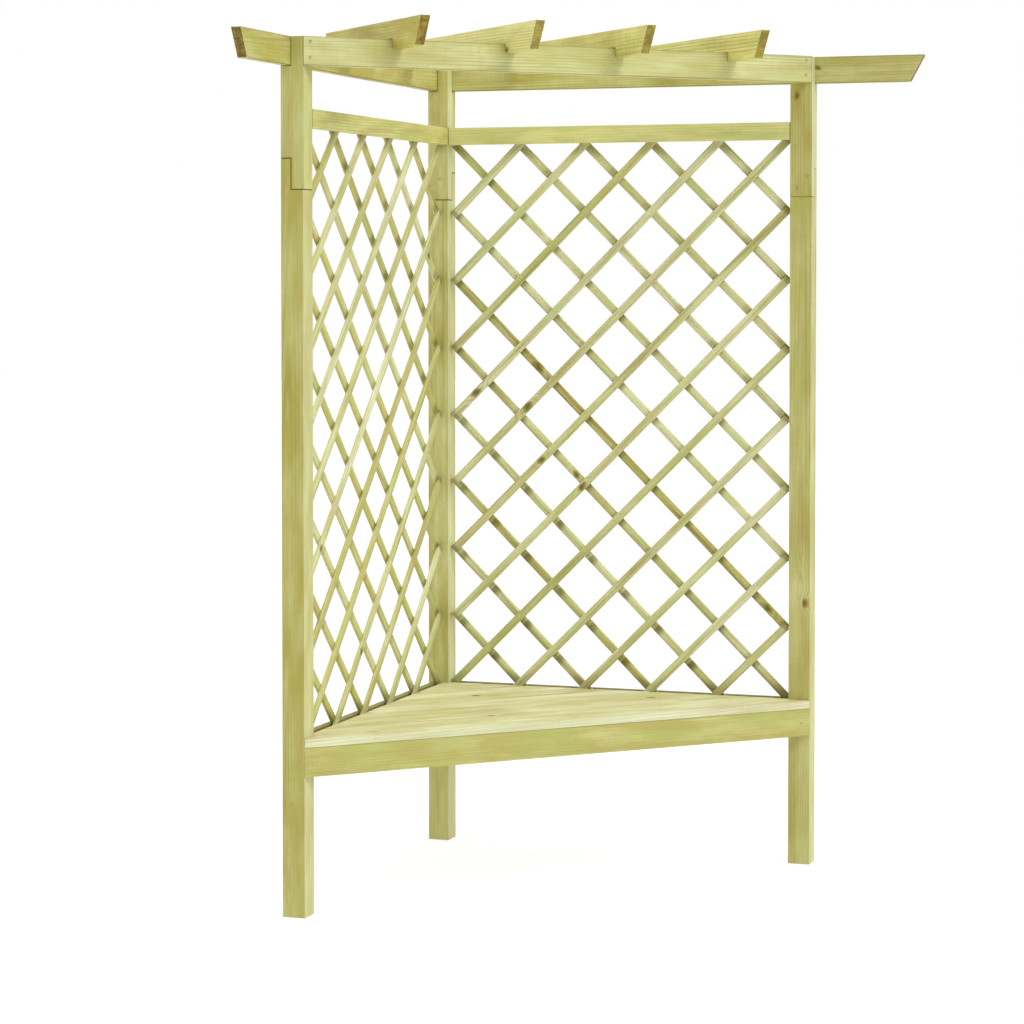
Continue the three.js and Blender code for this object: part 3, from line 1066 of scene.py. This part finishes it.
class LathLayerTree(GridTree):
    """Lays one layer of leaning laths between two posts."""

    half_column = 0.5

    def __init__(self) -> None:
        """Starts the tree and works out the slope of its laths."""
        tails = ("Side Tail", "Head Tail", "Foot Tail")
        super().__init__("lath_layer", *tails, "Width", "Thickness", "Ease", "Lean")
        self.slope = self.math("ARCTAN2", self.row_pitch, self.column_pitch)

    def choose(self, test: Wire, no: Wire, yes: Wire) -> Wire:
        """Gives yes where the test is 1 and no where it is 0."""
        return test * yes + (1.0 - test) * no

    def tip(self, column: Wire, row: Wire, tail: Wire) -> tuple[Wire, Wire]:
        """Gives the X and Z of a lath's end, past its last crossing by the tail."""
        x, z = self.spot(column, row)
        return x + tail * self.math("COSINE", self.slope), z + tail * self.math("SINE", self.slope)

    def blank(self) -> Wire:
        """Makes one lath of unit length with eased edges, which knows its own places.

        Returns:
            The lath.
        """
        size = {"Width": self.given["Thickness"], "Height": self.given["Width"]}
        section = self.wire("GeometryNodeCurvePrimitiveQuadrilateral", size)
        easing = {"Curve": section, "Count": 1, "Radius": self.given["Ease"]}
        eased = self.wire("GeometryNodeFilletCurve", easing, mode="POLY")
        upright = self.wire("GeometryNodeSetCurveNormal", {"Curve": self.unit_line()}, mode="Z_UP")
        return self.tell(self.sweep(upright, eased), "place", self.position(), "POINT")

    def build(self) -> NodeTree:
        """Places the laths and tells each one its number, its length and its own chance.

        Returns:
            The tree.
        """
        given = self.given
        first = self.index + 1.0 - self.rows
        low = self.most(-first, 0.0)
        high = self.math("MINIMUM", self.columns - first, self.rows)
        at_left = self.math("LESS_THAN", first + low, self.half_column)
        at_right = self.math("GREATER_THAN", first + high, self.columns - self.half_column)
        foot_tail = self.choose(at_left, given["Foot Tail"], given["Side Tail"])
        head_tail = self.choose(at_right, given["Head Tail"], given["Side Tail"])
        x0, z0 = self.tip(first + low, low, -foot_tail)
        x1, z1 = self.tip(first + high, high, head_tail)
        length = self.reach(x1 - x0, z1 - z0)
        middle = (x0 + x1) / 2.0
        mirrored = self.math("LESS_THAN", given["Lean"], 0.0)
        middle = self.choose(mirrored, middle, given["Span"] - middle)
        laths = self.lay(
            self.blank(), self.laths, middle, (z0 + z1) / 2.0,
            Rotation=self.vector(y=-(self.slope * given["Lean"])), Scale=self.vector(length, 1.0, 1.0),
        )
        for name, value in (("chance", self.chance()), ("lath", self.vector(first, length, given["Lean"]))):
            laths = self.tell(laths, name, value, "INSTANCE")
        return self.end(laths)


class StapleTree(GridTree):
    """Drives a staple into every crossing of two lath layers."""

    sides = 6
    slack = 0.2
    bow_power = 8

    def __init__(self) -> None:
        """Starts the tree."""
        super().__init__("staples", "Crown", "Wire", "Bite", "Turn")

    def within(self, value: Wire, most: Wire, slack: float) -> Wire:
        """Says whether a number lies above minus the slack and below the most and the slack."""
        return self.math("GREATER_THAN", value, -slack) * self.math("LESS_THAN", value, most + slack)

    def staple(self) -> Wire:
        """Bends one staple's wire.

        Returns:
            The staple.
        """
        along = self.split(self.position())[0]
        bent = (abs(along) * 2.0) ** self.bow_power * self.given["Bite"]
        bow = self.wire("GeometryNodeSetPosition", {
            "Geometry": self.unit_line(), "Position": self.vector(along * self.given["Crown"], -bent),
        })
        section = {"Resolution": self.sides, "Radius": self.given["Wire"]}
        return self.sweep(bow, self.wire("GeometryNodeCurvePrimitiveCircle", section))

    def build(self) -> NodeTree:
        """Places the staples.

        Returns:
            The tree.
        """
        one = self.math("FLOOR", self.index / self.laths) + 1.0 - self.rows
        other = self.math("MODULO", self.index, self.laths) + 1.0 - self.rows
        column = (self.columns - other + one) / 2.0
        row = (self.columns - other - one) / 2.0
        inside = self.within(column, self.columns, -self.slack) * self.within(row, self.rows, self.slack)
        turn = self.chance(self.vector(y=-self.given["Turn"]), self.vector(y=self.given["Turn"]))
        x, z = self.spot(column, row)
        return self.end(self.lay(self.staple(), self.laths ** 2, x, z, Selection=inside, Rotation=turn))


class ScrewTree(GeometryTree):
    """Turns a countersunk wood screw with a cross recess, down Z from its head's top at zero."""

    sides = 16

    def __init__(self) -> None:
        """Starts the tree."""
        super().__init__("wood_screw", (
            "Length", "Head", "Shank", "Rim", "Sink", "Point", "Tip", "Step", "Pitch", "Thread",
            "Bare Share", "Slot", "Blade", "Recess Share",
        ))

    def turned(self) -> Wire:
        """Turns the head's cone, the shank and the point.

        Returns:
            The screw without its thread and its recess.
        """
        given = self.given
        size = self.vector(1.0, 1.0, given["Length"])
        line = {"Geometry": self.line((0.0, 0.0, 0.0), (0.0, 0.0, -1.0)), "Scale": size}
        stepping = {"Curve": self.wire("GeometryNodeTransform", line), "Length": given["Step"]}
        steps = self.wire("GeometryNodeResampleCurve", stepping, mode="LENGTH")
        deep = -self.split(self.position())[2]
        fall = (given["Head"] - given["Shank"]) / (given["Sink"] - given["Rim"])
        cone = given["Head"] - self.most(deep - given["Rim"], 0.0) * fall
        tip = (given["Length"] - deep) * (given["Shank"] / given["Point"]) + given["Tip"]
        stem = self.most(self.math("MINIMUM", cone, given["Head"]), given["Shank"])
        section = self.wire("GeometryNodeCurvePrimitiveCircle", {"Resolution": self.sides, "Radius": 1.0})
        return self.sweep(steps, section, Scale=self.math("MINIMUM", stem, tip))

    def build(self) -> NodeTree:
        """Cuts the thread and the recess.

        Returns:
            The tree.
        """
        given = self.given
        x, y, z = self.split(self.position())
        turns = -z / given["Pitch"] + self.math("ARCTAN2", y, x) / math.tau
        ridge = 1.0 - self.math("PINGPONG", turns, 0.5) * 2.0
        threaded = self.math("GREATER_THAN", -z, given["Length"] * given["Bare Share"])
        swell = ridge * threaded * (given["Thread"] / given["Shank"])
        swelling = {"Geometry": self.turned(), "Offset": self.vector(x * swell, y * swell)}
        threads = {"Mesh 1": self.wire("GeometryNodeSetPosition", swelling)}
        cut = self.node("GeometryNodeMeshBoolean", threads, operation="DIFFERENCE", solver="EXACT")
        recess = given["Sink"] * given["Recess Share"]
        for wide, narrow in (("Slot", "Blade"), ("Blade", "Slot")):
            size = self.vector(given[wide], given[narrow], recess)
            self.join(self.wire("GeometryNodeMeshCube", {"Size": size}), cut.inputs["Mesh 2"])
        return self.end(Wire(self, cut.outputs[0]))


@dataclass(frozen=True)
class LathKnot:
    """A knot on a lath, by the lath's layer, its number and the crossing column it lies at."""

    layer: Layer
    first: int
    column: float
    radius: float


@dataclass(frozen=True)
class LathDraw:
    """How far the laths' chances spread their grain, their tones and their knots."""

    start: float = 20.0
    heart: float = 0.03
    tone: float = 0.75
    inner_share: float = 0.5
    least_warm: float = 0.05
    warm: float = 0.5
    brown: float = 0.95
    knot_rarity: float = 0.72
    knot_radius: float = 7 * MM
    no_knot: Band = (1e3, 4 * MM)
    knot_stretch: float = 0.6
    branch_fade: float = 0.05
    tip: float = 0.499


@dataclass
class Lattice:
    """One side's laths and the staples that hold them together."""

    shop: Workshop
    side: Side
    place: Matrix
    knots: tuple[LathKnot, ...] = ()
    brown: tuple[Lath, ...] = ()
    # Which side of each crossing the painted shade falls on.
    shade_side: float = 1.0
    # Painted shade: how much darker the laths are painted, the outer layer fully and the inner by a share;
    # below zero, paler.
    deeper: float = 0.0
    columns: int = 5
    rows: int = 8
    span: float = 865 * MM
    inset: float = 12.5 * MM
    foot: float = 399 * MM
    head: float = 1729 * MM
    width: float = 19 * MM
    thickness: float = 7 * MM
    tip_gap: float = 1 * MM
    head_lap: float = 30 * MM
    foot_lap: float = 38 * MM
    start: float = 16.3 * MM
    overlap: float = 0.2 * MM
    ease: float = 0.7 * MM
    wire: float = 0.55 * MM
    crown: float = 10 * MM
    bite: float = 1.6 * MM
    turn: float = 0.5
    draw: LathDraw = LathDraw()

    def __post_init__(self) -> None:
        """Works out the pitch and the slope of the laths."""
        self.column_pitch = (self.span - 2 * self.inset) / self.columns
        self.slope = math.atan2((self.head - self.foot) / self.rows, self.column_pitch)

    def make_layer(self, tree: NodeTree, layer: Layer) -> Mesh:
        """Makes one layer of laths with its grain.

        Args:
            tree: The tree of a layer.
            layer: The layer.

        Returns:
            The layer's mesh, in the frame.
        """
        run, rise = math.cos(self.slope), math.sin(self.slope)
        half = self.width / 2
        step = 0.0 if layer is Layer.INNER else self.thickness - self.overlap
        mesh = grow(f"lattice_{self.side.value}_{layer.name.lower()}", tree, self, {
            "Side Tail": (self.inset - self.tip_gap - half * rise) / run,
            "Head Tail": (self.head_lap - half * run) / rise,
            "Foot Tail": (self.foot_lap - half * run) / rise,
            "Lean": float(layer.value), "Depth": self.start + step + self.thickness / 2,
            "Seed": sum(self.side.value.encode()) + layer.value, "Material": self.shop.woods[Wood.LATH],
        })
        self.write_looks(mesh)
        mesh.transform(self.place)
        return mesh

    def write_looks(self, mesh: Mesh) -> None:
        """Writes each lath's grain, tint, painted shade and knots from what the tree told it.

        Args:
            mesh: A layer's mesh.
        """
        draw = self.draw
        told = {name: [tuple(item.vector) for item in mesh.attributes[name].data]
                for name in ("place", "lath", "chance")}
        middle, half = (self.head + self.foot) / 2, (self.head - self.foot) / 2
        pitch = self.column_pitch / (2 * math.cos(self.slope))
        looks: dict[str, list[float]] = {
            name: [] for name in ("grain", "tint", "crossing", "edge", *KNOT_NAMES)}
        for vertex, (x, y, z), (first, length, lean), (one, two, three) in zip(mesh.vertices, *told.values()):
            lath, along = (Layer(round(lean)), round(first)), x * length
            outer = lath[0] is Layer.OUTER
            looks["grain"] += [along + draw.start * one, y + draw.heart * (1 + two),
                               z + draw.heart * (three - NOISE_MIDDLE)]
            # Painted shade deepens the tone, the outer layer's most.
            tone = draw.tone * two + self.deeper * (1.0 if outer else draw.inner_share)
            warm = draw.least_warm + draw.warm * three
            looks["tint"] += [draw.brown, draw.brown, 0.0] if lath in self.brown else [tone, warm, 0.0]
            # Painted shade: measures each point from the crossings, on the side given.
            turns = self.shade_side * self.from_middle(lath, 0.0, along) / pitch
            looks["crossing"] += [turns, float(outer and y < 0), 0.0]
            looks["edge"] += [along, length / 2, (vertex.co.z - middle) / half]
            for name, (column, radius) in zip(KNOT_NAMES, self.knots_of(lath, one, two)):
                across = self.from_middle(lath, column, along * lean) * draw.knot_stretch
                looks[name] += [across / radius, z / radius, y * draw.branch_fade / radius]
        for name, values in looks.items():
            write_attribute(mesh, name, "POINT", values)
        kinds: list[float] = []
        for face in mesh.polygons:
            share = sum(told["place"][v][0] for v in face.vertices) / len(face.vertices)
            kinds += [float(abs(share) > draw.tip), 0.0, 0.0]
        write_attribute(mesh, "face_kind", "FACE", kinds)
        for name in told:
            mesh.attributes.remove(mesh.attributes[name])

    def knots_of(self, lath: Lath, one: float, two: float) -> list[Band]:
        """Gives a lath's two knots: the placed ones, else one by chance.

        Args:
            lath: The lath's layer and number.
            one: The lath's first chance.
            two: The lath's second chance.

        Returns:
            The column and the radius of each knot, far away where there is none.
        """
        placed = [(knot.column, knot.radius) for knot in self.knots if (knot.layer, knot.first) == lath]
        if not placed and one > self.draw.knot_rarity:
            placed = [(self.columns * two, self.draw.knot_radius)]
        return (placed + [self.draw.no_knot] * len(KNOT_NAMES))[:len(KNOT_NAMES)]

    def from_middle(self, lath: Lath, column: float, along: float) -> float:
        """Measures along a lath from the crossing at a column.

        Args:
            lath: The lath's layer and number.
            column: The column.
            along: The point's place from the lath's middle.

        Returns:
            The distance along the lath.
        """
        _, first = lath
        low = max(0, -first) + first
        high = min(self.rows, self.columns - first) + first
        return along - (column - (low + high) / 2) * self.column_pitch / math.cos(self.slope)

    def build(self) -> None:
        """Makes the laths, both layers in one piece, and the staples."""
        name = f"lattice_{self.side.value}"
        tree = LathLayerTree().build()
        plan = bmesh.new()
        for layer in Layer:
            plan.from_mesh(self.make_layer(tree, layer))
        mesh = bpy.data.meshes.new(f"{name}_laths")
        plan.to_mesh(mesh)
        plan.free()
        mesh.materials.append(self.shop.woods[Wood.LATH])
        stand_in(mesh, name)
        outside = self.start + 2 * self.thickness - self.overlap
        staples = grow(f"{name}_staples", StapleTree().build(), self, {
            "Depth": outside + self.wire / 2, "Seed": len(self.side.value), "Material": self.shop.steel,
        })
        staples.transform(self.place)
        stand_in(staples, "")


@dataclass
class Screws:
    """The countersunk screws, each in its node's own hole."""

    shop: Workshop
    heads: dict[str, Facing] = field(default_factory=lambda: {
        "lap_screw_front": Facing.WEST, "lap_screw_corner": Facing.SOUTH, "lap_screw_right": Facing.SOUTH,
        "beam_front_screw": Facing.FRONT, "seat_rail_screw": Facing.FRONT, "beam_screw_front": Facing.WEST,
        "beam_screw_corner_left": Facing.WEST, "beam_screw_corner_back": Facing.NORTH,
        "beam_screw_right": Facing.NORTH, "rafter_screw": Facing.UP,
    })
    head: float = 4.45 * MM
    shank: float = 1.9 * MM
    rim: float = 0.6 * MM
    sink: float = 3.3 * MM
    point: float = 7 * MM
    tip: float = 0.15 * MM
    step: float = 0.7 * MM
    pitch: float = 2.6 * MM
    thread: float = 0.3 * MM
    bare_share: float = 0.35
    slot: float = 4.8 * MM
    blade: float = 0.9 * MM
    recess_share: float = 0.9
    digits: int = 6

    def build(self) -> None:
        """Makes every screw and sets it in its hole, turned by chance."""
        tree = ScrewTree().build()
        for prefix, facing in self.heads.items():
            for node in sorted(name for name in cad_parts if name.startswith(prefix)):
                self.drive(tree, node, Vector(facing.value))

    def drive(self, tree: NodeTree, node: str, facing: Vector) -> None:
        """Makes one screw on the axis of its node.

        Args:
            tree: The screw's tree.
            node: The node's name.
            facing: The way its head faces.
        """
        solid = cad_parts[node].data
        corners = {tuple(round(value, self.digits) for value in vertex.co) for vertex in solid.vertices}
        depths = [Vector(corner).dot(facing) for corner in corners]
        middle = sum((Vector(corner) for corner in corners), Vector()) / len(corners)
        top = middle + facing * (max(depths) - middle.dot(facing))
        given = {"Length": max(depths) - min(depths), "Material": self.shop.steel}
        mesh = grow(f"{node}_steel", tree, self, given)
        spin = Matrix.Rotation(random.Random(node).uniform(0, math.pi), 4, "Z")
        mesh.transform(Matrix.Translation(top) @ facing.to_track_quat("Z", "Y").to_matrix().to_4x4() @ spin)
        stand_in(mesh, node)


@dataclass(frozen=True)
class Glow:
    """One soft light of the studio's sky: the way it lies, its strength and its tightness."""

    way: Triple
    strength: float
    power: float
    tint: Triple = (1.0, 1.0, 1.0)


@dataclass
class Studio:
    """The floor, the light and the camera."""

    camera_place: Triple = (1.90152, -6.1315, 1.40814)
    yaw: float = 18.77
    pitch: float = 2.0
    focal_pixels: float = 2859.1
    centre_row: float = 375.51
    sensor: float = 36.0
    floor_side: float = 60.0
    backdrop: float = 1.0
    floor_shade: float = 0.25
    floor_glow: float = 0.8
    floor_roughness: float = 0.9
    glows: tuple[Glow, ...] = (
        Glow((0.0, 0.0, 1.0), 1.3, 2.0),
        Glow((0.6, -0.25, 0.76), 11.2, 48.0, (0.96, 1.0, 1.18)),
        Glow((1.0, 0.0, 0.15), 1.0, 4.0, (0.86, 1.0, 1.45)),
        Glow((-1.0, 0.0, 0.3), 1.87, 4.0),
        Glow((0.0, 1.0, 0.3), 0.9, 4.0),
    )

    def camera(self) -> None:
        """Sets the camera at the photograph's place, nearly level, with its small shift."""
        data = bpy.data.cameras.new("studio_camera")
        data.sensor_width = self.sensor
        data.lens = self.sensor * self.focal_pixels / IMAGE_SIDE
        data.shift_y = (self.centre_row - IMAGE_SIDE / 2) / IMAGE_SIDE
        camera = bpy.data.objects.new("studio_camera", data)
        camera.location = self.camera_place
        camera.rotation_euler = (math.radians(90 - self.pitch), 0.0, math.radians(self.yaw))
        bpy.context.scene.collection.objects.link(camera)
        bpy.context.scene.camera = camera

    def floor(self) -> None:
        """Lays the pale floor."""
        looks = {
            "Base Color": (self.floor_shade,) * 3 + (1.0,), "Roughness": self.floor_roughness,
            "Specular IOR Level": 0.0, "Emission Color": WHITE, "Emission Strength": self.floor_glow,
        }
        half = self.floor_side / 2
        corners = [(-half, -half, 0), (half, -half, 0), (half, half, 0), (-half, half, 0)]
        mesh = bpy.data.meshes.new("studio_floor")
        mesh.from_pydata(corners, [], [(0, 1, 2, 3)])
        mesh.materials.append(finish("studio_floor", lambda sheet: looks))
        floor = bpy.data.objects.new("studio_floor", mesh)
        bpy.context.scene.collection.objects.link(floor)

    def sky(self) -> None:
        """Lights the studio from soft glows overhead and at the sides, before a plain pale backdrop."""
        world = bpy.data.worlds.new("studio_sky")
        world.use_nodes = True
        world.node_tree.nodes.clear()
        sheet = Sheet(world.node_tree)
        way = sheet.wire("ShaderNodeTexCoord", output="Generated")
        light: Any = (0.0, 0.0, 0.0)
        for glow in self.glows:
            ways = {0: way, 1: Vector(glow.way).normalized()}
            facing = sheet.wire("ShaderNodeVectorMath", ways, "Value", operation="DOT_PRODUCT")
            shine = [glow.strength * channel for channel in glow.tint]
            sums = {0: sheet.most(facing, 0.0) ** glow.power, 1: shine, 2: light}
            light = sheet.wire("ShaderNodeVectorMath", sums, operation="MULTIPLY_ADD")
        both = sheet.wire("ShaderNodeMixShader", {
            0: sheet.wire("ShaderNodeLightPath", output="Is Camera Ray"),
            1: sheet.wire("ShaderNodeBackground", {"Color": light}),
            2: sheet.wire("ShaderNodeBackground", {"Strength": self.backdrop, "Color": WHITE}),
        })
        sheet.node("ShaderNodeOutputWorld", {"Surface": both})
        bpy.context.scene.world = world

    def build(self) -> None:
        """Sets up the studio."""
        self.camera()
        self.floor()
        self.sky()
        bpy.context.scene.view_settings.view_transform = "Standard"


def main() -> None:
    """Builds the arbour's looks, piece by piece, then the studio round it."""
    logging.basicConfig(level=logging.INFO, format="%(name)s %(message)s")
    shop = Workshop()
    for part in (Posts, Roof, Rails, Seat):
        part(shop).build()
    left = Matrix.Translation((-POST_FACE, FRONT_POST_FACE, 0.0)) @ Matrix.Rotation(math.pi / 2, 4, "Z")
    # The left side's laths are painted darker, the outer ones most, as painted shade.
    Lattice(shop, Side.LEFT, left, deeper=0.5).build()
    back = Matrix.Translation((-POST_FACE, POST_FACE, 0.0))
    brown = (Layer.OUTER, -1)
    knots = (
        LathKnot(*brown, 3.72, 10 * MM), LathKnot(*brown, 0.27, 8 * MM),
        LathKnot(Layer.INNER, -4, 0.27, 9 * MM), LathKnot(Layer.INNER, -3, 1.13, 9 * MM),
        LathKnot(Layer.INNER, -2, 1.34, 7 * MM),
    )
    # The back's painted shade falls on the other side of each crossing, and its laths are painted a little
    # paler.
    Lattice(shop, Side.BACK, back, knots=knots, brown=(brown,), shade_side=-1.0, deeper=-0.1).build()
    Screws(shop).build()
    Studio().build()


if __name__ == "__main__":
    main()
